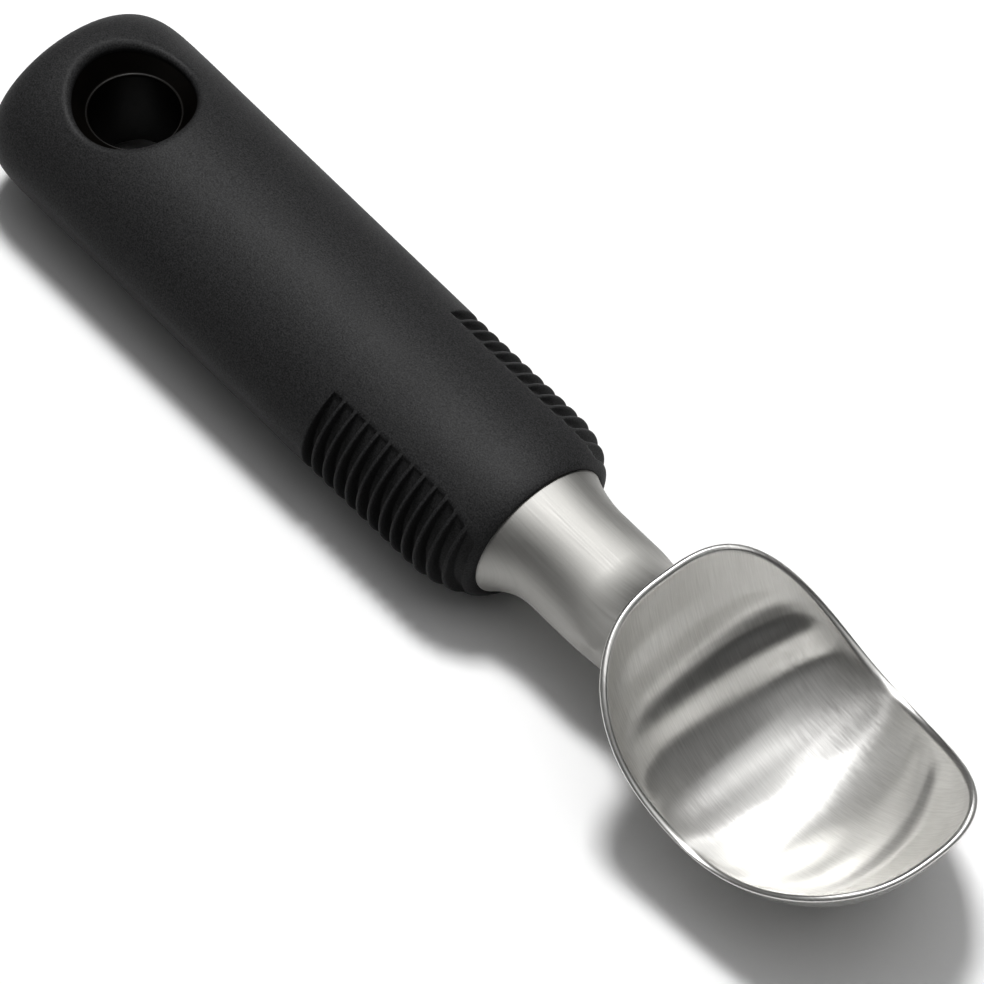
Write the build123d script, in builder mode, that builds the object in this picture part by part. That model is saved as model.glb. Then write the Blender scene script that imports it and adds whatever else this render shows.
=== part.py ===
"""Fixed scoop: a cast steel head with a tang, a rigid core moulded on the tang, and a soft ribbed sleeve.

The tool lies along X with the bowl towards +X, and rests level on the table at Z = 0: the underside of the
grip and the belly of the bowl both touch it. The origin is below the middle of the tool's length.
"""

import math
import os

from build123d import *

# Grip, in millimetres
grip_length = 114.7
grip_width = 36.8
grip_front_width = 35.8
grip_height = 27.4
sleeve_lip = 0.6
rear_round_length = 16.7
rear_round_power = 4.4
rear_flat_share = 0.37
front_round_length = 9.7
front_round_power = 1.75

# Rigid core: a bar inside the grip that ends in a round eye, funnelled into the bore of the hang hole
core_width = 21.0
core_height = 15.0
hole_from_rear = 18.6
hole_bore_radius = 7.3
eye_radius = 9.8
eye_height = 20.0
eye_edge = 0.3
eye_funnel_depth = 2.0
hole_mouth_round = 1.5

# Finger grooves on both sides of the grip, with thin ribs left between them
groove_count = 13
groove_pitch = 2.6
groove_width = 1.9
groove_depth = 2.6
groove_span = 21.6
first_groove_from_mouth = 33.2

# Steel neck: it meets the mouth of the sleeve, narrows to a waist, and flares into the bowl
neck_end_width = 24.4
neck_end_height = 21.4
waist_width = 20.0
waist_height = 18.0
waist_start = 9.0
waist_end = 17.0
waist_rise = 2.1
flare_width = 28.5
flare_height = 21.0
flare_rise = 3.0
flare_start = 30.0
flare_end = 46.0

# Tang inside the core, with two holes that the core's plastic fills
tang_length = 58.0
tang_width = 12.0
tang_height = 8.0
tang_edge_round = 2.0
tang_hole_diameter = 5.0
tang_hole_spacing = 26.0

# Bowl: a barrel-shaped cup about a crosswise axis, cut off at a rim that dips at the sides
bowl_from_mouth = 57.0
bowl_radius = 30.0
bowl_half_length = 24.0
bowl_power = 2.4
end_wall = 1.5
side_wall = 0.7
belly_wall = 3.0
rim_back_height = 34.0
rim_back_slope = -1.3
rim_dip_height = 15.0
rim_dip_forward = 1.5
rim_lip_height = 26.6
rim_lip_slope = 0.75

# Drawing aids: spans in a rounded corner and in the straight of the grip, and a cutter's overrun
corner_spans = 9
straight_spans = 6
overrun = 6.0

# Heights and lengths that follow from the sizes above
axis_height = grip_height / 2
bowl_axis_height = bowl_radius
back_reach = math.sqrt(bowl_radius**2 - (rim_back_height - bowl_axis_height) ** 2)
lip_reach = math.sqrt(bowl_radius**2 - (rim_lip_height - bowl_axis_height) ** 2)
overall_length = grip_length + bowl_from_mouth + lip_reach
rear_x = -overall_length / 2
mouth_x = rear_x + grip_length
hole_x = rear_x + hole_from_rear
bowl_x = mouth_x + bowl_from_mouth
hole_centre = Plane(origin=(hole_x, 0, axis_height))


def quarter_curve(along, across, power):
    """Points of a quarter superellipse, from (-along, 0) on one axis to (0, across) on the other."""
    points = [(-along, 0.0)]
    for step in range(1, corner_spans):
        turn = math.pi / 2 * step / corner_spans
        points.append((-along * math.cos(turn) ** (2 / power), across * math.sin(turn) ** (2 / power)))
    points.append((0.0, across))
    return points


def across_tool(from_mouth, height):
    """Plane square to the tool, X across it and Y up, at a distance from the grip's mouth."""
    return Plane(origin=(mouth_x + from_mouth, 0, height), x_dir=(0, 1, 0), z_dir=(1, 0, 0))


def steepened(start, slope, run):
    """A point that lies a run along X from start, on a line of the given slope."""
    return (start[0] + run, start[1] + slope * run)


# Half-widths and half-heights along the grip: a blunt rear end, a slight taper, and a rounded front down to
# the sleeve's lip
grip_flatness = grip_height / grip_width
rear_half = grip_width / 2
front_half = grip_front_width / 2
front_high = front_half * grip_flatness
lip_half = neck_end_width / 2 + sleeve_lip
lip_high = neck_end_height / 2 + sleeve_lip
straight_start = rear_round_length - grip_length
straight_end = -front_round_length
rear_end = rear_half * rear_flat_share
grip_sections = [(-grip_length, rear_end, rear_end * grip_flatness)]
for along, across in quarter_curve(rear_round_length, rear_half, rear_round_power)[1:]:
    grip_sections.append((straight_start + along, across, across * grip_flatness))
for step in range(1, straight_spans):
    share = step / straight_spans
    along = straight_start + share * (straight_end - straight_start)
    across = rear_half + share * (front_half - rear_half)
    grip_sections.append((along, across, across * grip_flatness))
for along, share in reversed(quarter_curve(front_round_length, 1.0, front_round_power)):
    across = lip_half + share * (front_half - lip_half)
    grip_sections.append((straight_end - along, across, lip_high + share * (front_high - lip_high)))

# Bar of the core, from the neck's end to the middle of the eye
with BuildPart() as core_bar:
    with BuildSketch(across_tool(0, axis_height)):
        SlotOverall(core_width, core_height)
    extrude(amount=hole_x - mouth_x)

# Bowl blanks: the outside of the cup and the hollow in it, both turned about a crosswise axis
hollow_axis_height = bowl_axis_height + belly_wall - end_wall


def barrel(radius, half_length, height):
    """Barrel about the crosswise axis through the bowl's middle at the given height."""
    half = quarter_curve(half_length, radius, bowl_power)
    centre = Plane(origin=(bowl_x, 0, height), x_dir=(0, 1, 0), z_dir=(0, 0, 1))
    with BuildPart() as body:
        with BuildSketch(centre):
            with BuildLine():
                side = Spline(*half, tangents=[(0, 1), (1, 0)])
                mirror(side, about=Plane.YZ)
                Line((-half_length, 0), (half_length, 0))
            make_face()
        revolve(axis=Axis((bowl_x, 0, height), (0, 1, 0)))
    return body.part


cup = barrel(bowl_radius, bowl_half_length, bowl_axis_height)
hollow = barrel(bowl_radius - end_wall, bowl_half_length - side_wall, hollow_axis_height)

# Rim trim: everything above the rim's line, seen from the side
rim_back = (bowl_x - back_reach, rim_back_height)
rim_dip = (bowl_x + rim_dip_forward, rim_dip_height)
rim_lip = (bowl_x + lip_reach, rim_lip_height)
back_third = (rim_dip[0] - rim_back[0]) / 3
lip_third = (rim_lip[0] - rim_dip[0]) / 3
trim_top = 2 * bowl_radius + overrun
with BuildPart() as rim_trim:
    with BuildSketch(Plane.XZ):
        with BuildLine():
            back_run = steepened(rim_back, rim_back_slope, -overrun)
            lip_run = steepened(rim_lip, rim_lip_slope, overrun)
            Line(back_run, rim_back)
            Bezier(rim_back, steepened(rim_back, rim_back_slope, back_third),
                   (rim_dip[0] - back_third, rim_dip[1]), rim_dip)
            Bezier(rim_dip, (rim_dip[0] + lip_third, rim_dip[1]),
                   steepened(rim_lip, rim_lip_slope, -lip_third), rim_lip)
            Polyline(rim_lip, lip_run, (lip_run[0], trim_top), (back_run[0], trim_top), back_run)
        make_face()
    extrude(amount=bowl_half_length + overrun, both=True)

# Tang: a flat bar behind the neck that the core is moulded on
with BuildPart() as tang:
    with BuildSketch(across_tool(0, axis_height)):
        RectangleRounded(tang_width, tang_height, tang_edge_round)
    extrude(amount=-tang_length)
    with BuildSketch(Plane.XY.offset(axis_height)):
        with Locations((mouth_x - tang_length / 2, 0)):
            with GridLocations(tang_hole_spacing, 0, 2, 1):
                Circle(tang_hole_diameter / 2)
    extrude(amount=tang_height, both=True, mode=Mode.SUBTRACT)

# Scoop head: bowl, neck and tang are one casting
waist_axis_height = axis_height + waist_rise
flare_low = bowl_axis_height - math.sqrt(bowl_radius**2 - (bowl_from_mouth - flare_end) ** 2)
neck_sections = [
    (0.0, neck_end_width, neck_end_height, axis_height),
    (waist_start / 2, (neck_end_width + 3 * waist_width) / 4, (neck_end_height + 3 * waist_height) / 4, axis_height),
    (waist_start, waist_width, waist_height, waist_axis_height),
    (waist_end, waist_width, waist_height, waist_axis_height),
    (flare_start, flare_width, flare_height, axis_height + flare_rise),
    (flare_end, flare_width, flare_height, flare_low + flare_height / 2),
]
with BuildPart() as scoop_head:
    for from_mouth, width, height, middle in neck_sections:
        with BuildSketch(across_tool(from_mouth, middle)):
            Ellipse(width / 2, height / 2)
    loft()
    add(cup)
    add(hollow, mode=Mode.SUBTRACT)
    add(rim_trim.part, mode=Mode.SUBTRACT)
    add(tang.part)
scoop_head.part.label = "scoop_head"

# Handle core: moulded round the tang and through its holes, with a funnelled eye for the hang hole
funnel_lip = eye_radius - eye_edge
with BuildPart() as handle_core:
    add(core_bar.part)
    with BuildSketch(hole_centre):
        Circle(eye_radius)
    extrude(amount=eye_height / 2, both=True)
    with BuildSketch(hole_centre):
        Circle(hole_bore_radius)
    extrude(amount=eye_height, both=True, mode=Mode.SUBTRACT)
    for side in (1, -1):
        with BuildSketch(hole_centre.offset(side * (eye_height / 2 - eye_funnel_depth))):
            Circle(hole_bore_radius)
        with BuildSketch(hole_centre.offset(side * eye_height / 2)):
            Circle(funnel_lip)
        loft(mode=Mode.SUBTRACT)
    add(tang.part, mode=Mode.SUBTRACT)
handle_core.part.label = "handle_core"

# Groove cutter: one pair of grooves, whose floors arc from tip to tip down each side
groove_x = mouth_x - first_groove_from_mouth - groove_width / 2
floor_half_width = grip_front_width / 2 - groove_depth
tip_half_width = grip_front_width / 2 * math.sqrt(1 - (groove_span / grip_height) ** 2)
with BuildPart() as groove_pair:
    with BuildSketch(Plane(origin=(groove_x, 0, axis_height), x_dir=(0, 1, 0), z_dir=(1, 0, 0))):
        with BuildLine():
            floor = ThreePointArc((tip_half_width, groove_span / 2), (floor_half_width, 0),
                                  (tip_half_width, -groove_span / 2))
            Polyline(floor @ 1, (grip_width, -groove_span / 2), (grip_width, groove_span / 2), floor @ 0)
        make_face()
        mirror(about=Plane.YZ)
    extrude(amount=groove_width)

# Grip sleeve: soft skin moulded over the core, with a plain hole round the core's eye
with BuildPart() as grip_sleeve:
    for from_mouth, half_width, half_height in grip_sections:
        with BuildSketch(across_tool(from_mouth, axis_height)):
            Ellipse(half_width, half_height)
    loft()
    add(core_bar.part, mode=Mode.SUBTRACT)
    with BuildSketch(hole_centre):
        Circle(eye_radius)
    extrude(amount=grip_height, both=True, mode=Mode.SUBTRACT)
    loops = grip_sleeve.edges().filter_by(lambda edge: edge.is_closed)
    fillet(loops.filter_by_position(Axis.X, hole_x - 2 * eye_radius, hole_x + 2 * eye_radius), hole_mouth_round)
    for index in range(groove_count):
        with Locations((index * groove_pitch, 0, 0)):
            add(groove_pair.part, mode=Mode.SUBTRACT)
grip_sleeve.part.label = "grip_sleeve"

os.makedirs("parts", exist_ok=True)
export_step(scoop_head.part, "parts/scoop_head.step")
export_step(handle_core.part, "parts/handle_core.step")
export_step(grip_sleeve.part, "parts/grip_sleeve.step")
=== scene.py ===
"""Looks of a fixed ice cream scoop: brushed steel bowl and neck, hard black eye and soft charcoal grip.

Every mesh is drawn in the CAD frame, in metres, with sizes written in millimetres.
"""

import logging
import math
from dataclasses import dataclass
from enum import Enum

import bmesh
import bpy
import numpy as np
from mathutils import Matrix, Vector


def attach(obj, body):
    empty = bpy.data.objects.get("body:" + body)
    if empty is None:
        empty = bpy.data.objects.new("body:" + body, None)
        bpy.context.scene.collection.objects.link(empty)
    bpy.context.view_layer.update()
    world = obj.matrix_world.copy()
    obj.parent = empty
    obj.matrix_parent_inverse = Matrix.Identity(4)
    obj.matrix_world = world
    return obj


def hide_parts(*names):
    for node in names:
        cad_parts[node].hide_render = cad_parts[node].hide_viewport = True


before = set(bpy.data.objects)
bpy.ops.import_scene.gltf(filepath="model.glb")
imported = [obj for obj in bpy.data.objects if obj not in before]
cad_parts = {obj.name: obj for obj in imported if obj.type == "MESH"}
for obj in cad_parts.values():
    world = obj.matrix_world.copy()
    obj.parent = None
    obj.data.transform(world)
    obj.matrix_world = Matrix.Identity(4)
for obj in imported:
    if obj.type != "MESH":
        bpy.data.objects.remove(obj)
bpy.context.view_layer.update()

LOG = logging.getLogger("scoop")
MM = 0.001

# Middle of the grip's mouth, along the tool and above the table.
MOUTH_X = 13.9466
AXIS_Z = 13.7

# Mesh attribute that says how much of the polishing waves a point shows.
POLISH = "polish"

# Part of a noise's range that carries nearly all of it.
NOISE_LOW = 0.3
NOISE_HIGH = 0.7

Triple = tuple[float, float, float]
Quad = tuple[int, int, int, int]


class Slot(Enum):
    """Material slots of the record."""

    STEEL = "steel"
    CORE = "core"
    GRIP = "grip"


class Nodes:
    """Small helper that builds one node material."""

    def __init__(self, name: str) -> None:
        """Start an empty node tree.

        Args:
            name: Name of the material.
        """
        self.material = bpy.data.materials.new(name)
        self.material.use_nodes = True
        self.tree = self.material.node_tree
        self.tree.nodes.clear()

    def add(self, kind: str, **settings: object) -> bpy.types.Node:
        """Add a node and set its properties and input sockets.

        Args:
            kind: Node type.
            settings: Property or socket names, with underscores for spaces, and their values.

        Returns:
            The new node.
        """
        node = self.tree.nodes.new(kind)
        for key, value in settings.items():
            label = key.replace("_", " ")
            if label in node.inputs:
                node.inputs[label].default_value = value
            else:
                setattr(node, key, value)
        return node

    def link(self, source: bpy.types.NodeSocket, target: bpy.types.NodeSocket) -> None:
        """Join two sockets."""
        self.tree.links.new(source, target)

    def stretched_noise(self, stretch: Triple, detail: float) -> bpy.types.NodeSocket:
        """Noise in object space, stretched along the axes.

        Args:
            stretch: Noise scale along X, Y and Z, per metre.
            detail: Octaves of the noise.

        Returns:
            The socket that carries the noise.
        """
        place = self.add("ShaderNodeTexCoord")
        mapping = self.add("ShaderNodeMapping", Scale=stretch)
        noise = self.add("ShaderNodeTexNoise", Scale=1.0, Detail=detail, Roughness=0.6)
        self.link(place.outputs["Object"], mapping.inputs["Vector"])
        self.link(mapping.outputs["Vector"], noise.inputs["Vector"])
        return noise.outputs["Fac"]

    def ramp(self, source: bpy.types.NodeSocket, low: Triple, high: Triple) -> bpy.types.NodeSocket:
        """Two-colour ramp over the middle of a noise.

        Args:
            source: Socket that drives the ramp.
            low: Colour at the low end.
            high: Colour at the high end.

        Returns:
            The colour socket.
        """
        node = self.add("ShaderNodeValToRGB")
        node.color_ramp.elements[0].position = NOISE_LOW
        node.color_ramp.elements[0].color = (*low, 1.0)
        node.color_ramp.elements[1].position = NOISE_HIGH
        node.color_ramp.elements[1].color = (*high, 1.0)
        self.link(source, node.inputs["Fac"])
        return node.outputs["Color"]

    def spread(self, source: bpy.types.NodeSocket, ends: tuple[float, float]) -> bpy.types.NodeSocket:
        """Map the middle of a noise to a range of values.

        Args:
            source: Socket that drives the value.
            ends: Values at the low and the high end.

        Returns:
            The value socket.
        """
        low, high = ends
        node = self.add(
            "ShaderNodeMapRange", From_Min=NOISE_LOW, From_Max=NOISE_HIGH, To_Min=low, To_Max=high)
        self.link(source, node.inputs["Value"])
        return node.outputs["Result"]

    def bump(self, source: bpy.types.NodeSocket, strength: float | bpy.types.NodeSocket, distance: float,
             base: bpy.types.NodeSocket | None = None) -> bpy.types.NodeSocket:
        """Bump from a height socket.

        Args:
            source: Height socket.
            strength: Strength of the bump, or the socket that carries it.
            distance: Height of the bump in metres.
            base: Normal that the bump is added to.

        Returns:
            The normal socket.
        """
        node = self.add("ShaderNodeBump", Distance=distance)
        if isinstance(strength, bpy.types.NodeSocket):
            self.link(strength, node.inputs["Strength"])
        else:
            node.inputs["Strength"].default_value = strength
        self.link(source, node.inputs["Height"])
        if base is not None:
            self.link(base, node.inputs["Normal"])
        return node.outputs["Normal"]

    def finish(self, shader: bpy.types.Node) -> bpy.types.Material:
        """Join the shader to the output and return the material."""
        output = self.add("ShaderNodeOutputMaterial")
        self.link(shader.outputs[0], output.inputs["Surface"])
        return self.material


@dataclass(frozen=True)
class SoftRubber:
    """Matte charcoal rubber with a fine grain."""

    low: Triple = (0.022, 0.022, 0.0225)
    high: Triple = (0.066, 0.066, 0.067)
    roughness: tuple[float, float] = (0.49, 0.57)
    gloss: float = 0.22
    grain_scale: float = 3800.0
    grain_strength: float = 0.7
    grain_height: float = 0.00006
    wear_scale: float = 60.0

    def material(self) -> bpy.types.Material:
        """Build the material.

        Returns:
            The rubber material.
        """
        nodes = Nodes("soft_rubber")
        shader = nodes.add("ShaderNodeBsdfPrincipled", Specular_IOR_Level=self.gloss)
        grain = nodes.stretched_noise((self.grain_scale,) * 3, 3.0)
        wear = nodes.stretched_noise((self.wear_scale,) * 3, 4.0)
        nodes.link(nodes.ramp(grain, self.low, self.high), shader.inputs["Base Color"])
        nodes.link(nodes.spread(wear, self.roughness), shader.inputs["Roughness"])
        nodes.link(nodes.bump(grain, self.grain_strength, self.grain_height), shader.inputs["Normal"])
        return nodes.finish(shader)


@dataclass(frozen=True)
class HardPlastic:
    """Semi-gloss brown-black moulded plastic."""

    low: Triple = (0.004, 0.0036, 0.003)
    high: Triple = (0.008, 0.0065, 0.005)
    roughness: tuple[float, float] = (0.34, 0.44)
    gloss: float = 0.2
    cloud_scale: float = 220.0
    texture_scale: float = 1800.0
    texture_strength: float = 0.12
    texture_height: float = 0.00003

    def material(self) -> bpy.types.Material:
        """Build the material.

        Returns:
            The plastic material.
        """
        nodes = Nodes("hard_plastic")
        shader = nodes.add("ShaderNodeBsdfPrincipled", Specular_IOR_Level=self.gloss)
        cloud = nodes.stretched_noise((self.cloud_scale,) * 3, 3.0)
        fine = nodes.stretched_noise((self.texture_scale,) * 3, 2.0)
        nodes.link(nodes.ramp(cloud, self.low, self.high), shader.inputs["Base Color"])
        nodes.link(nodes.spread(fine, self.roughness), shader.inputs["Roughness"])
        nodes.link(nodes.bump(fine, self.texture_strength, self.texture_height), shader.inputs["Normal"])
        return nodes.finish(shader)


@dataclass(frozen=True)
class BrushedSteel:
    """Satin cast steel: fine scratches along the tool, and broad crosswise waves left by polishing.

    The scratches sweep about a crosswise axis at centre, given along the tool and above the table. The
    waves show only where the mesh has the polish attribute.
    """

    name: str
    centre: tuple[float, float]
    low: Triple = (0.68, 0.675, 0.66)
    high: Triple = (0.80, 0.795, 0.78)
    roughness: tuple[float, float] = (0.39, 0.51)
    anisotropy: float = 0.80
    scratch_strength: float = 0.24
    scratch_height: float = 0.00002
    scratch_scale: Triple = (5.0, 3600.0, 1.0)
    wave_strength: float = 0.42
    wave_height: float = 0.004
    wave_scale: Triple = (3.6, 22.0, 1.0)
    wave_start: Triple = (3.8, 3.3, 15.9)

    def swept_noise(self, nodes: Nodes, scale: Triple, start: Triple, detail: float) -> bpy.types.NodeSocket:
        """Noise that follows the turn about a crosswise axis, so that its lines climb the walls.

        Args:
            nodes: Material that the noise belongs to.
            scale: Noise scale along the turn, across the tool and along a third axis where it is constant.
            start: Place in the noise that the pattern starts from.
            detail: Octaves of the noise.

        Returns:
            The socket that carries the noise.
        """
        place = nodes.add("ShaderNodeTexCoord")
        shift = nodes.add("ShaderNodeMapping", Scale=(1, 1, -1),
                          Location=(-self.centre[0] * MM, 0, self.centre[1] * MM))
        split = nodes.add("ShaderNodeSeparateXYZ")
        turn = nodes.add("ShaderNodeMath", operation="ARCTAN2")
        join = nodes.add("ShaderNodeCombineXYZ")
        mapping = nodes.add("ShaderNodeMapping", Scale=scale, Location=start)
        noise = nodes.add("ShaderNodeTexNoise", Scale=1.0, Detail=detail, Roughness=0.6)
        nodes.link(place.outputs["Object"], shift.inputs["Vector"])
        nodes.link(shift.outputs["Vector"], split.inputs["Vector"])
        nodes.link(split.outputs["X"], turn.inputs[0])
        nodes.link(split.outputs["Z"], turn.inputs[1])
        nodes.link(turn.outputs["Value"], join.inputs["X"])
        nodes.link(split.outputs["Y"], join.inputs["Y"])
        nodes.link(join.outputs["Vector"], mapping.inputs["Vector"])
        nodes.link(mapping.outputs["Vector"], noise.inputs["Vector"])
        return noise.outputs["Fac"]

    def material(self) -> bpy.types.Material:
        """Build the material.

        Returns:
            The steel material.
        """
        nodes = Nodes(self.name)
        shader = nodes.add("ShaderNodeBsdfPrincipled", Metallic=1.0, Anisotropic=self.anisotropy,
                           Anisotropic_Rotation=0.25)
        lines = self.swept_noise(nodes, self.scratch_scale, (0.0, 0.0, 0.0), 3.0)
        waves = self.swept_noise(nodes, self.wave_scale, self.wave_start, 0.0)
        ring = nodes.add("ShaderNodeTangent", direction_type="RADIAL", axis="Y")
        polish = nodes.add("ShaderNodeAttribute", attribute_name=POLISH)
        strength = nodes.add("ShaderNodeMath", operation="MULTIPLY")
        strength.inputs[1].default_value = self.wave_strength
        nodes.link(polish.outputs["Fac"], strength.inputs[0])
        wavy = nodes.bump(waves, strength.outputs["Value"], self.wave_height)
        scratched = nodes.bump(lines, self.scratch_strength, self.scratch_height, wavy)
        nodes.link(nodes.ramp(lines, self.low, self.high), shader.inputs["Base Color"])
        nodes.link(nodes.spread(lines, self.roughness), shader.inputs["Roughness"])
        nodes.link(scratched, shader.inputs["Normal"])
        nodes.link(ring.outputs["Tangent"], shader.inputs["Tangent"])
        return nodes.finish(shader)


@dataclass(frozen=True)
class PaleFloor:
    """Plain pale studio floor."""

    low: Triple = (0.90, 0.90, 0.90)
    high: Triple = (0.92, 0.92, 0.92)
    roughness: float = 0.8
    gloss: float = 0.1
    cloud_scale: float = 6.0

    def material(self) -> bpy.types.Material:
        """Build the material.

        Returns:
            The floor material.
        """
        nodes = Nodes("pale_floor")
        shader = nodes.add(
            "ShaderNodeBsdfPrincipled", Roughness=self.roughness, Specular_IOR_Level=self.gloss)
        cloud = nodes.stretched_noise((self.cloud_scale,) * 3, 2.0)
        nodes.link(nodes.ramp(cloud, self.low, self.high), shader.inputs["Base Color"])
        return nodes.finish(shader)


def make_piece(name: str, points: np.ndarray, faces: list, material: bpy.types.Material) -> bpy.types.Object:
    """Make a smooth mesh object from points in millimetres.

    Args:
        name: Name of the piece.
        points: Vertices, one row each, in the CAD frame.
        faces: Vertex indices of each face.
        material: Finish of the piece.

    Returns:
        The linked object.
    """
    mesh = bpy.data.meshes.new(name)
    mesh.from_pydata((points * MM).tolist(), [], faces)
    mesh.validate()
    shell = bmesh.new()
    shell.from_mesh(mesh)
    bmesh.ops.recalc_face_normals(shell, faces=shell.faces)
    shell.to_mesh(mesh)
    shell.free()
    mesh.shade_smooth()
    mesh.materials.append(material)
    piece = bpy.data.objects.new(name, mesh)
    bpy.context.scene.collection.objects.link(piece)
    return piece


def dress(piece: bpy.types.Object, slot: Slot, *nodes: str) -> None:
    """Tie a piece to the root body and hide the CAD nodes it stands for; its slot is only logged.

    Args:
        piece: The piece.
        slot: Material slot of the record.
        nodes: CAD nodes that the piece replaces.
    """
    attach(piece, "root")
    if nodes:
        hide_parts(*nodes)
    LOG.info("piece %s: %d faces, slot %s", piece.name, len(piece.data.polygons), slot.value)


def band(one: list[int], two: list[int]) -> list[Quad]:
    """Quads between two closed loops of equally many points.

    Args:
        one: Point indices of the first loop.
        two: Point indices of the second loop, in step with the first.

    Returns:
        One quad for each point of a loop.
    """
    count = len(one)
    nexts = [(k + 1) % count for k in range(count)]
    return [(one[k], one[n], two[n], two[k]) for k, n in enumerate(nexts)]


def loop_from(start: int, count: int) -> list[int]:
    """Point indices of a ring whose points follow each other."""
    return list(range(start, start + count))


def ring_faces(rows: int, count: int, start: int = 0) -> list[Quad]:
    """Quads of a band of rings.

    Args:
        rows: Number of rings.
        count: Points in each ring.
        start: Index of the first point.

    Returns:
        Quads between neighbouring rings.
    """
    quads: list[Quad] = []
    for row in range(rows - 1):
        here = start + row * count
        quads += band(loop_from(here, count), loop_from(here + count, count))
    return quads


def circle(count: int) -> np.ndarray:
    """Evenly spaced directions round a circle, in radians."""
    return np.arange(count) * 2 * math.pi / count


def rounding(share: np.ndarray, power: float) -> np.ndarray:
    """Size of a rounded end, from 1 where it starts to 0 at its tip."""
    return (1 - share**power) ** (1 / power)


def cubic(share: np.ndarray | float, a: np.ndarray, b: np.ndarray, c: np.ndarray,
          d: np.ndarray) -> np.ndarray:
    """Points of a cubic curve.

    Args:
        share: Shares of the way along the curve.
        a: Where it starts.
        b: Control point that it leaves towards.
        c: Control point that it arrives from.
        d: Where it ends.

    Returns:
        The curve's points at these shares.
    """
    rest = 1 - share
    return rest**3 * a + 3 * rest**2 * share * b + 3 * rest * share**2 * c + share**3 * d


def sharpen(piece: bpy.types.Object, start: int, count: int) -> None:
    """Keep the shading crisp along one ring of a piece.

    Args:
        piece: The piece.
        start: Index of the ring's first point.
        count: Points in the ring.
    """
    for edge in piece.data.edges:
        if all(start <= index < start + count for index in edge.vertices):
            edge.use_edge_sharp = True


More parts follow.
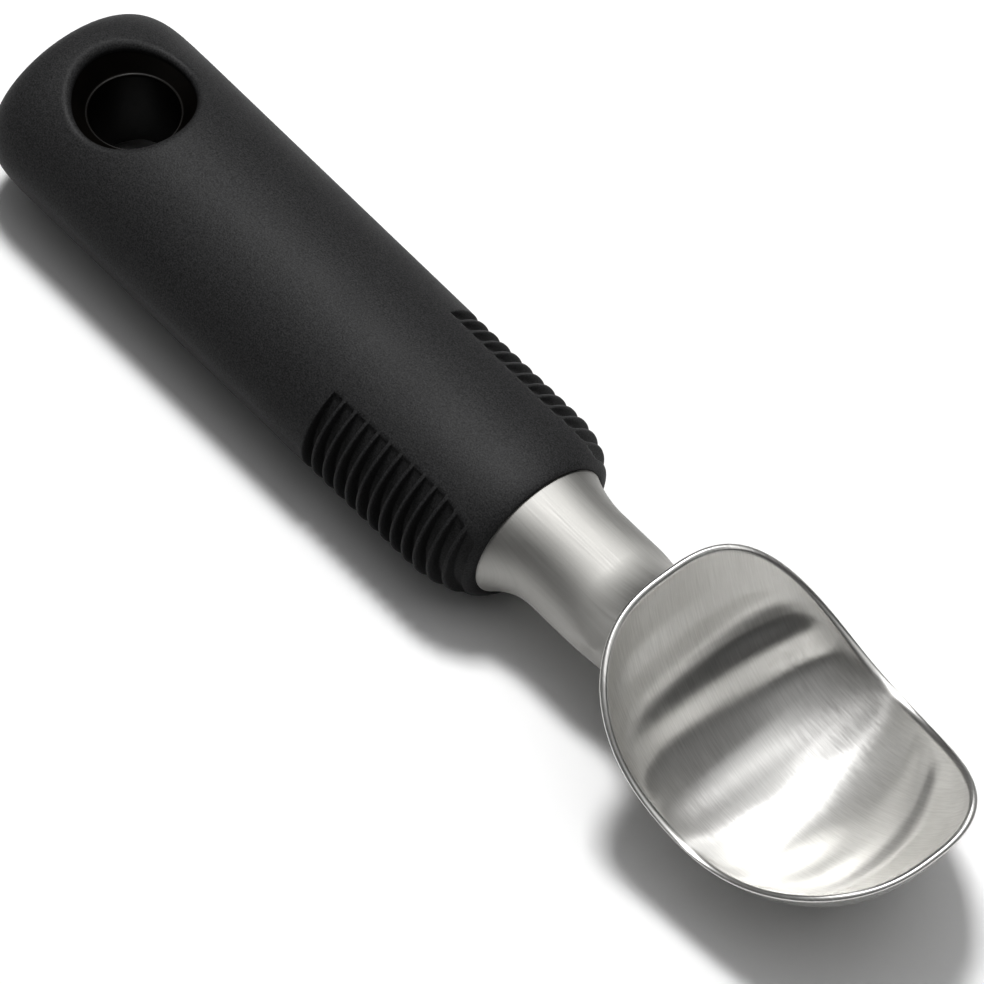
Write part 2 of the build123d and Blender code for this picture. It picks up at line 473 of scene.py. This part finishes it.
@dataclass
class Grip:
    """Soft grip: a long oval with a blunt rear, rib fields at the sides and a hang hole.

    Positions along the grip count from its mouth and are negative behind it. Each groove_wall step is a
    distance from the groove's edge and the share of the depth there. Each mouth_fold step is a position and
    how much smaller the oval is there.
    """

    length: float = 114.7
    width: float = 36.8
    front_width: float = 35.8
    height: float = 27.36
    lip_half: float = 13.0
    lip_high: float = 11.8
    rear_length: float = 16.7
    rear_power: float = 4.4
    front_length: float = 9.7
    front_power: float = 1.75
    hole_at: float = -96.1
    hole_radius: float = 9.8
    hole_round: float = 1.7
    hole_wall: float = 0.8
    patch_half: float = 13.6
    groove_count: int = 13
    groove_pitch: float = 2.6
    groove_half: float = 1.0
    groove_margin: float = 0.4
    first_groove: float = -33.2
    groove_depth: float = 2.3
    groove_reach: float = 10.1
    groove_wall: tuple[tuple[float, float], ...] = (
        (-0.16, 0.0), (-0.08, 0.03), (0.0, 0.16), (0.03, 0.5), (0.06, 0.84), (0.14, 0.97), (0.24, 1.0))
    mouth_fold: tuple[tuple[float, float], ...] = ((0.0, 0.25), (-0.12, 0.55), (-2.0, 0.75))
    around: int = 192

    @property
    def flatness(self) -> float:
        """Height of the oval for its width."""
        return self.height / self.width

    @property
    def patch(self) -> tuple[float, float]:
        """Start and end of the skin round the hang hole."""
        return self.hole_at - self.patch_half, self.hole_at + self.patch_half

    def half_width(self, x: np.ndarray) -> np.ndarray:
        """Half-width of the grip at a distance from its mouth.

        Args:
            x: Positions along the tool, negative behind the mouth.

        Returns:
            Half-widths in millimetres.
        """
        x = np.asarray(x, float)
        rear, front = self.width / 2, self.front_width / 2
        start, end = self.rear_length - self.length, -self.front_length
        straight = rear + (front - rear) * np.clip((x - start) / (end - start), 0, 1)
        back = np.clip((start - x) / self.rear_length, 0, 1)
        nose = np.clip((x - end) / self.front_length, 0, 1)
        at_rear = rear * rounding(back, self.rear_power)
        at_front = self.lip_half + (front - self.lip_half) * rounding(nose, self.front_power)
        return np.where(x < start, at_rear, np.where(x > end, at_front, straight))

    def half_height(self, x: np.ndarray) -> np.ndarray:
        """Half-height of the grip at a distance from its mouth.

        Args:
            x: Positions along the tool, negative behind the mouth.

        Returns:
            Half-heights in millimetres.
        """
        x = np.asarray(x, float)
        nose = np.clip((x + self.front_length) / self.front_length, 0, 1)
        front = self.front_width / 2 * self.flatness
        at_front = self.lip_high + (front - self.lip_high) * rounding(nose, self.front_power)
        return np.where(x > -self.front_length, at_front, self.flatness * self.half_width(x))

    def surface_z(self, x: np.ndarray, y: np.ndarray) -> np.ndarray:
        """Height of the grip's top above its axis.

        Args:
            x: Positions along the tool.
            y: Positions across it.

        Returns:
            Heights in millimetres.
        """
        return self.flatness * np.sqrt(np.maximum(self.half_width(x) ** 2 - np.asarray(y) ** 2, 0))

    def rear_marks(self) -> list[tuple[float, float]]:
        """Stations of the blunt rear.

        Returns:
            Position and half-width of each ring, from the rear's tip to the skin round the hole.
        """
        start = self.rear_length - self.length
        marks = []
        for turn in np.radians(np.concatenate([np.linspace(0.15, 8, 16), np.linspace(9, 90, 82)])):
            x = start - self.rear_length * math.cos(turn) ** (2 / self.rear_power)
            if x < self.patch[0] - 0.1:
                marks.append((x, self.width / 2 * math.sin(turn) ** (2 / self.rear_power)))
        return marks

    def groove_marks(self) -> list[tuple[float, float]]:
        """Stations of the rib field.

        Returns:
            Position and groove share of each ring, from the first groove to the last.
        """
        marks = []
        for index in range(self.groove_count):
            middle = self.first_groove + index * self.groove_pitch
            marks += [(middle - self.groove_half + step, share) for step, share in self.groove_wall]
            marks.append((middle, 1.0))
            marks += [(middle + self.groove_half - step, share) for step, share in reversed(self.groove_wall)]
        return marks

    def stations(self) -> list[tuple[float, float, float, float]]:
        """Stations along the grip.

        Returns:
            Position, half-width, half-height and groove share of each ring, from rear to front.
        """
        rows = [(x, half, half * self.flatness, 0.0) for x, half in self.rear_marks()]
        marks = [(x, 0.0) for x in np.linspace(*self.patch, 45)]
        plain_end = self.first_groove - self.groove_half - self.groove_margin
        marks += [(x, 0.0) for x in np.linspace(self.patch[1], plain_end, 34)[1:]]
        marks += self.groove_marks()
        nose = marks[-1][0] + 0.15
        marks += [(nose - nose * math.sin(turn) ** 0.8, 0.0) for turn in np.radians(np.linspace(0, 90, 28))]
        rows += [(x, float(self.half_width(x)), float(self.half_height(x)), share) for x, share in marks]
        rows += [(x, self.lip_half - less, self.lip_high - less, 0.0) for x, less in self.mouth_fold]
        return rows

    def ring(self, x: float, half: float, high: float, groove: float) -> np.ndarray:
        """Points of one oval ring, with the grooves at its sides.

        Args:
            x: Position along the tool.
            half: Half-width of the oval.
            high: Half-height of the oval.
            groove: Share of the groove's depth.

        Returns:
            Points relative to the mouth's centre.
        """
        turn = circle(self.around)
        y = half * np.cos(turn)
        z = high * np.sin(turn)
        fade = min(1.0, 2 * half / self.front_width) ** 2
        reach = np.clip(np.abs(z) / (self.groove_reach * fade), 0, 1)
        cut = groove * fade * self.groove_depth * np.sqrt(1 - reach**4)
        y = np.sign(y) * np.maximum(np.abs(y) - cut, 0)
        return np.stack([np.full_like(y, x), y, z], axis=1)

    def hole_patch(self, loop: list[int], points: np.ndarray, side: int) -> tuple[np.ndarray, list[Quad]]:
        """Skin between a rectangular gap in the grid and the round hole.

        Args:
            loop: Indices of the gap's edge, in order.
            points: Points so far.
            side: 1 at the top and -1 at the bottom.

        Returns:
            New points and the patch's quads.
        """
        edge = points[loop][:, :2] - np.array([self.hole_at, 0.0])
        away = np.hypot(edge[:, 0], edge[:, 1])
        unit = edge / away[:, None]
        outer = self.hole_radius + self.hole_round
        rows = []
        for share in np.linspace(0, 1, 11)[1:]:
            radius = away + (outer - away) * share
            rows.append((radius, np.zeros_like(radius)))
        for turn in np.radians(np.linspace(9, 90, 10)):
            radius = np.full_like(away, outer - self.hole_round * math.sin(turn))
            rows.append((radius, np.full_like(away, self.hole_round * (1 - math.cos(turn)))))
        depth = self.hole_round + self.hole_wall
        rows.append((np.full_like(away, self.hole_radius), np.full_like(away, depth)))
        made = []
        for radius, drop in rows:
            x = self.hole_at + unit[:, 0] * radius
            y = unit[:, 1] * radius
            made.append(np.stack([x, y, side * (self.surface_z(x, y) - drop)], axis=1))
        start, count = len(points), len(loop)
        quads = band(loop, loop_from(start, count)) + ring_faces(len(rows), count, start)
        return np.concatenate(made), quads

    def build(self, finish: SoftRubber) -> bpy.types.Object:
        """Build and dress the grip.

        Args:
            finish: Finish of the grip.

        Returns:
            The grip's skin.
        """
        rows = self.stations()
        count = self.around
        points = np.concatenate([self.ring(*row) for row in rows])
        places = np.array([row[0] for row in rows])
        first, last = (int(np.argmin(np.abs(places - end))) for end in self.patch)
        gaps = [(count // 8, 3 * count // 8, 1), (5 * count // 8, 7 * count // 8, -1)]
        faces = []
        for row in range(len(rows) - 1):
            for k in range(count):
                open_here = first <= row < last and any(a <= k < b for a, b, _ in gaps)
                if not open_here:
                    here, n = row * count, (k + 1) % count
                    faces.append((here + k, here + n, here + count + n, here + count + k))
        rear = len(points)
        points = np.concatenate([points, [[-self.length, 0.0, 0.0]]])
        faces += [(rear, (k + 1) % count, k) for k in range(count)]
        faces.append(loop_from(rear - count, count))
        walls = []
        for a, b, side in gaps:
            loop = [row * count + a for row in range(first, last)]
            loop += [last * count + k for k in range(a, b)]
            loop += [row * count + b for row in range(last, first, -1)]
            loop += [first * count + k for k in range(b, a, -1)]
            more, quads = self.hole_patch(loop, points, side)
            points = np.concatenate([points, more])
            faces += quads
            walls.append(len(points) - len(loop))
        size = len(loop)
        across = last - first + size // 2
        below = [walls[1] + (across - k) % size for k in range(size)]
        faces += band(loop_from(walls[0], size), below)
        piece = make_piece("grip_skin", points + [MOUTH_X, 0, AXIS_Z], faces, finish.material())
        dress(piece, Slot.GRIP, "grip_sleeve")
        return piece


@dataclass
class HangEye:
    """Hard eye of the core, seen in the hang hole: a funnel down to a small lip round the bore.

    The seat field tells how far the funnel's edge reaches past the hole and below its rounding. The lip
    fields give distances out from the bore and up from the ring.
    """

    bore_radius: float = 7.3
    ring_height: float = 8.1
    seat: tuple[float, float] = (0.02, 0.05)
    lip_start: tuple[float, float] = (0.3, 0.12)
    lip_steps: tuple[tuple[float, float], ...] = (
        (0.22, 0.2), (0.12, 0.2), (0.04, 0.1), (0.0, -0.1), (0.0, -0.5))
    around: int = 192

    def build(self, grip: Grip, finish: HardPlastic) -> bpy.types.Object:
        """Build and dress the eye.

        Args:
            grip: Grip whose hole holds the eye.
            finish: Finish of the eye.

        Returns:
            The eye.
        """
        turn = circle(self.around)
        edge = grip.hole_radius + self.seat[0]
        skin = grip.surface_z(grip.hole_at + edge * np.cos(turn), edge * np.sin(turn))
        top = skin - grip.hole_round - self.seat[1]
        rows = []
        for share in np.linspace(0, 1, 10):
            radius = edge + (self.bore_radius + self.lip_start[0] - edge) * share
            rows.append((radius, top + (self.ring_height + self.lip_start[1] - top) * share))
        for radius, height in self.lip_steps:
            rows.append((self.bore_radius + radius, np.full_like(turn, self.ring_height + height)))
        rows += [(radius, -height) for radius, height in reversed(rows)]
        points = np.concatenate([
            np.stack([grip.hole_at + radius * np.cos(turn), radius * np.sin(turn), height], axis=1)
            for radius, height in rows])
        last = (len(rows) - 1) * self.around
        faces = ring_faces(len(rows), self.around)
        faces += band(loop_from(last, self.around), loop_from(0, self.around))
        piece = make_piece("hang_eye", points + [MOUTH_X, 0, AXIS_Z], faces, finish.material())
        sharpen(piece, 0, self.around)
        sharpen(piece, last, self.around)
        dress(piece, Slot.CORE, "handle_core")
        return piece


@dataclass
class Bowl:
    """Steel bowl: arcs from the belly out to a rim that dips at the sides.

    Positions along the bowl count from its middle, which lies ahead of the grip's mouth. The back and lip
    fields give the rim's position, height and slope there, and dip gives the position and height of its
    lowest point. Arcs are in degrees. The polishing waves end near the rim.
    """

    middle: float = 57.0
    belly: float = -1.0
    widest: float = -7.0
    half_width: float = 22.0
    back: Triple = (-30.1, 33.9, -1.3)
    dip: tuple[float, float] = (2.0, 14.95)
    lip: Triple = (29.75, 26.55, 0.62)
    back_power: float = 2.75
    lip_power: float = 2.5
    back_arc: float = 80.0
    lip_arc: float = 70.0
    side_arc: float = 57.0
    rim_wall: float = 1.25
    belly_wall: float = 3.0
    polish_end: float = 0.97
    polish_fade: float = 0.14
    sweep_height: float = 30.0
    wall_rows: int = 110
    rim_rows: int = 13
    rim_step: float = 0.01
    around: int = 320

    def rim_height(self, x: np.ndarray) -> np.ndarray:
        """Height of the rim above the table, seen from the side.

        Args:
            x: Positions along the tool from the bowl's middle.

        Returns:
            Heights in millimetres.
        """
        share = np.linspace(0, 1, 160)[:, None]
        back, dip, lip = (np.array(place[:2]) for place in (self.back, self.dip, self.lip))
        back_third, lip_third = (dip[0] - back[0]) / 3, (lip[0] - dip[0]) / 3
        level = np.array([1.0, 0.0])
        back_slope, lip_slope = np.array([1.0, self.back[2]]), np.array([1.0, self.lip[2]])
        first = cubic(share, back, back + back_slope * back_third, dip - level * back_third, dip)
        second = cubic(share, dip, dip + level * lip_third, lip - lip_slope * lip_third, lip)
        line = np.concatenate([first, second[1:]])
        return np.interp(x, line[:, 0], line[:, 1])

    def rim(self, turn: np.ndarray) -> np.ndarray:
        """Points of the rim's outer edge.

        Args:
            turn: Directions in plan, 0 towards the lip.

        Returns:
            Points relative to the bowl's middle, with heights above the table.
        """
        ahead = np.cos(turn) > 0
        reach = np.where(ahead, self.lip[0] - self.widest, self.widest - self.back[0])
        power = np.where(ahead, self.lip_power, self.back_power)
        x = self.widest + np.sign(np.cos(turn)) * reach * np.abs(np.cos(turn)) ** (2 / power)
        y = np.sign(np.sin(turn)) * self.half_width * np.abs(np.sin(turn)) ** (2 / power)
        return np.stack([x, y, self.rim_height(x)], axis=-1)

    def point(self, share: np.ndarray, turn: np.ndarray, inside: bool) -> np.ndarray:
        """Point on the bowl's wall.

        Args:
            share: Share of the arc from the belly to the rim.
            turn: Directions in plan, 0 towards the lip.
            inside: True for the hollow.

        Returns:
            Points relative to the bowl's middle, with heights above the table.
        """
        edge = self.rim(turn)
        foot = np.array([self.belly, 0.0])
        out = edge[..., :2] - foot
        span = np.hypot(out[..., 0], out[..., 1])
        if inside:
            out = out * (1 - self.rim_wall / span)[..., None]
        low = self.belly_wall if inside else 0.0
        along = (out[..., 0] / span) ** 2
        end = np.where(out[..., 0] > 0, self.lip_arc, self.back_arc)
        arc = np.radians(self.side_arc + (end - self.side_arc) * along)
        wide = np.sin(share * arc) / np.sin(arc)
        high = (1 - np.cos(share * arc)) / (1 - np.cos(arc))
        place = foot + out * wide[..., None]
        return np.concatenate([place, (low + (edge[..., 2] - low) * high)[..., None]], axis=-1)

    def build(self, finish: BrushedSteel) -> bpy.types.Object:
        """Build and dress the bowl.

        Args:
            finish: Finish of the bowl.

        Returns:
            The bowl.
        """
        turn = circle(self.around)
        ends = {}
        for inside in (True, False):
            tip = self.point(np.ones_like(turn), turn, inside)
            before = self.point(np.full_like(turn, 1 - self.rim_step), turn, inside)
            gap = np.linalg.norm(tip - before, axis=1)
            speed = gap / self.rim_step
            slope = (tip - before) / gap[:, None]
            share = 1 - self.rim_wall / 2 / speed
            ends[inside] = (share, self.point(share, turn, inside), slope)
        inner_share, inner_end, inner_slope = ends[True]
        outer_share, outer_end, outer_slope = ends[False]
        hollow = np.linspace(0.02, 1, self.wall_rows)
        rows = [self.point(inner_share * share, turn, True) for share in hollow]
        lift = self.rim_wall / 2 * 4 / 3
        inner_lift, outer_lift = inner_end + inner_slope * lift, outer_end + outer_slope * lift
        for share in np.linspace(0, 1, self.rim_rows + 2)[1:-1]:
            rows.append(cubic(share, inner_end, inner_lift, outer_lift, outer_end))
        rows += [self.point(outer_share * share, turn, False) for share in hollow[::-1]]
        points = np.concatenate(rows + [[[self.belly, 0.0, self.belly_wall], [self.belly, 0.0, 0.0]]])
        inner_pole, outer_pole = len(points) - 2, len(points) - 1
        faces = ring_faces(len(rows), self.around)
        last = (len(rows) - 1) * self.around
        for k in range(self.around):
            n = (k + 1) % self.around
            faces.append((inner_pole, n, k))
            faces.append((outer_pole, last + k, last + n))
        piece = make_piece("bowl", points + [MOUTH_X + self.middle, 0, 0], faces, finish.material())
        shown = np.clip((self.polish_end - hollow) / self.polish_fade, 0, 1)
        polish = np.zeros(len(points))
        polish[:len(hollow) * self.around] = np.repeat(shown, self.around)
        polish[inner_pole] = 1.0
        piece.data.attributes.new(POLISH, "FLOAT", "POINT").data.foreach_set("value", polish)
        dress(piece, Slot.STEEL, "scoop_head")
        return piece


@dataclass
class Neck:
    """Steel neck that leaves the grip's mouth, narrows and flares onto the bowl's back.

    The foot fields give the middle and the half-size of its oval on the bowl's wall, as shares of the wall's
    arc and as a turn in radians. The foot's own rows close the neck along that wall.
    """

    end_half: tuple[float, float] = (12.55, 11.3)
    waist_half: tuple[float, float] = (10.0, 9.0)
    waist_rise: float = 2.1
    narrow_length: float = 9.0
    waist_end: float = 17.0
    foot_share: float = 0.60
    foot_reach: float = 0.34
    foot_turn: float = 0.62
    foot_rows: tuple[float, ...] = (0.75, 0.5, 0.25, 0.05)
    flow: float = 0.95
    sweep_height: float = 95.0
    around: int = 192

    def build(self, bowl: Bowl, finish: BrushedSteel) -> bpy.types.Object:
        """Build and dress the neck.

        Args:
            bowl: Bowl that the neck runs into.
            finish: Finish of the neck.

        Returns:
            The neck.
        """
        turn = circle(self.around)
        rows = []
        for x in np.concatenate([[-1.0], np.linspace(0, self.waist_end, 40)]):
            share = np.clip(1 - x / self.narrow_length, 0, 1) ** 2
            wide = self.waist_half[0] + (self.end_half[0] - self.waist_half[0]) * share
            tall = self.waist_half[1] + (self.end_half[1] - self.waist_half[1]) * share
            height = AXIS_Z + self.waist_rise * (1 - share) + tall * np.sin(turn)
            rows.append(np.stack([np.full_like(turn, x), wide * np.cos(turn), height], axis=1))

        def foot(scale: float) -> np.ndarray:
            """Points of the foot's oval on the bowl, at a scale about its middle."""
            share = self.foot_share + scale * self.foot_reach * np.sin(turn)
            place = bowl.point(share, math.pi - scale * self.foot_turn * np.cos(turn), False)
            return place + [bowl.middle, 0, 0]

        start, end = rows[-1], foot(1.0)
        lean = foot(1.0) - foot(0.98)
        lean /= np.linalg.norm(lean, axis=1)[:, None]
        pull = np.linalg.norm(end - start, axis=1)[:, None] * self.flow / 3
        ahead = np.array([1.0, 0.0, 0.0])
        for share in np.linspace(0, 1, 60)[1:]:
            rows.append(cubic(share, start, start + ahead * pull, end - lean * pull, end))
        edge = (len(rows) - 1) * self.around
        rows += [foot(scale) for scale in self.foot_rows]
        points = np.concatenate(rows)
        faces = ring_faces(len(rows), self.around)
        faces.append(loop_from(0, self.around))
        faces.append(loop_from(len(points) - self.around, self.around))
        piece = make_piece("neck", points + [MOUTH_X, 0, 0], faces, finish.material())
        sharpen(piece, edge, self.around)
        dress(piece, Slot.STEEL)
        return piece


@dataclass(frozen=True)
class Lamp:
    """Soft rectangular lamp, with its place and size in metres and its power in watts."""

    name: str
    place: Triple
    size: tuple[float, float]
    power: float

    def build(self, aim: Triple) -> None:
        """Add the lamp to the scene.

        Args:
            aim: Point that the lamp faces, in metres.
        """
        data = bpy.data.lights.new(self.name, "AREA")
        data.shape = "RECTANGLE"
        data.size, data.size_y = self.size
        data.energy = self.power
        lamp = bpy.data.objects.new(self.name, data)
        lamp.location = self.place
        lamp.rotation_mode = "QUATERNION"
        lamp.rotation_quaternion = (Vector(aim) - Vector(self.place)).to_track_quat("-Z", "Y")
        bpy.context.scene.collection.objects.link(lamp)


@dataclass
class Studio:
    """Floor, lights and camera.

    The camera's angles are in degrees. Its offset and distance count steps of unit millimetres each. The
    horizon and overhead fields give a share of the sky's height and its brightness there.
    """

    tilt: float = 55.38
    bearing: float = 45.88
    roll: float = 3.5
    unit: float = 0.152
    distance: float = 7000.0
    offset: tuple[float, float] = (46.09, -39.02)
    lens: float = 256.1
    sensor: float = 36.0
    clip: tuple[float, float] = (0.05, 20.0)
    floor_half: float = 4.0
    horizon: tuple[float, float] = (0.34, 0.02)
    overhead: tuple[float, float] = (0.75, 0.26)
    aim: Triple = (0.02, 0.0, 0.01)
    lamps: tuple[Lamp, ...] = (
        Lamp("key", (-0.27, 0.21, 1.0), (0.20, 0.20), 6.2),
        Lamp("top_soft", (0.2, 0.3, 1.4), (1.6, 1.2), 3.4))

    def camera(self) -> None:
        """Set the camera at the photo's angle."""
        tilt, bearing, roll = (math.radians(angle) for angle in (self.tilt, self.bearing, self.roll))
        level = Vector((math.sin(bearing), -math.cos(bearing), 0.0))
        back = level * math.cos(tilt) + Vector((0.0, 0.0, math.sin(tilt)))
        flat_right = Vector((math.cos(bearing), math.sin(bearing), 0.0))
        flat_up = back.cross(flat_right)
        right = flat_right * math.cos(roll) + flat_up * math.sin(roll)
        up = flat_up * math.cos(roll) - flat_right * math.sin(roll)
        target = Vector((MOUTH_X, 0, AXIS_Z))
        spot = target + self.unit * (self.distance * back - self.offset[0] * right - self.offset[1] * up)
        data = bpy.data.cameras.new("camera")
        data.lens = self.lens
        data.sensor_width = self.sensor
        data.clip_start, data.clip_end = self.clip
        camera = bpy.data.objects.new("camera", data)
        camera.matrix_world = Matrix((
            (right.x, up.x, back.x, spot.x * MM),
            (right.y, up.y, back.y, spot.y * MM),
            (right.z, up.z, back.z, spot.z * MM),
            (0, 0, 0, 1)))
        bpy.context.scene.collection.objects.link(camera)
        bpy.context.scene.camera = camera

    def sky(self, tree: bpy.types.NodeTree) -> None:
        """Make the studio's surroundings: dim at the horizon and bright overhead.

        Args:
            tree: Node tree of the world.
        """
        place = tree.nodes.new("ShaderNodeTexCoord")
        split = tree.nodes.new("ShaderNodeSeparateXYZ")
        ramp = tree.nodes.new("ShaderNodeValToRGB")
        for element, (position, level) in zip(ramp.color_ramp.elements, (self.horizon, self.overhead)):
            element.position = position
            element.color = (level, level, level, 1)
        tree.links.new(place.outputs["Generated"], split.inputs["Vector"])
        tree.links.new(split.outputs["Z"], ramp.inputs["Fac"])
        tree.links.new(ramp.outputs["Color"], tree.nodes["Background"].inputs["Color"])

    def build(self, finish: PaleFloor) -> None:
        """Build the floor, the lights, the world and the camera.

        Args:
            finish: Finish of the floor.
        """
        mesh = bpy.data.meshes.new("floor")
        half = self.floor_half
        corners = [(-half, -half, 0), (half, -half, 0), (half, half, 0), (-half, half, 0)]
        mesh.from_pydata(corners, [], [(0, 1, 2, 3)])
        mesh.materials.append(finish.material())
        floor = bpy.data.objects.new("floor", mesh)
        bpy.context.scene.collection.objects.link(floor)
        world = bpy.data.worlds.new("studio")
        world.use_nodes = True
        self.sky(world.node_tree)
        bpy.context.scene.world = world
        for lamp in self.lamps:
            lamp.build(self.aim)
        self.camera()
        bpy.context.scene.view_settings.view_transform = "Standard"
        bpy.context.scene.view_settings.look = "High Contrast"


def main() -> None:
    logging.basicConfig(level=logging.INFO, format="%(name)s %(message)s")
    grip = Grip()
    grip.build(SoftRubber())
    HangEye().build(grip, HardPlastic())
    bowl, neck = Bowl(), Neck()
    bowl_steel = BrushedSteel("bowl_steel", (MOUTH_X + bowl.middle, bowl.sweep_height))
    # The neck takes a darker copy of the bowl's steel: painted shade that dims its highlight, though neck and
    # bowl are one steel.
    neck_steel_painted_shade = BrushedSteel(
        "neck_steel_painted_shade", (MOUTH_X, neck.sweep_height), low=(0.44, 0.435, 0.42), high=(0.52, 0.515, 0.50),
        roughness=(0.59, 0.71), anisotropy=0.5)
    bowl.build(bowl_steel)
    neck.build(bowl, neck_steel_painted_shade)
    Studio().build(PaleFloor())


if __name__ == "__main__":
    main()
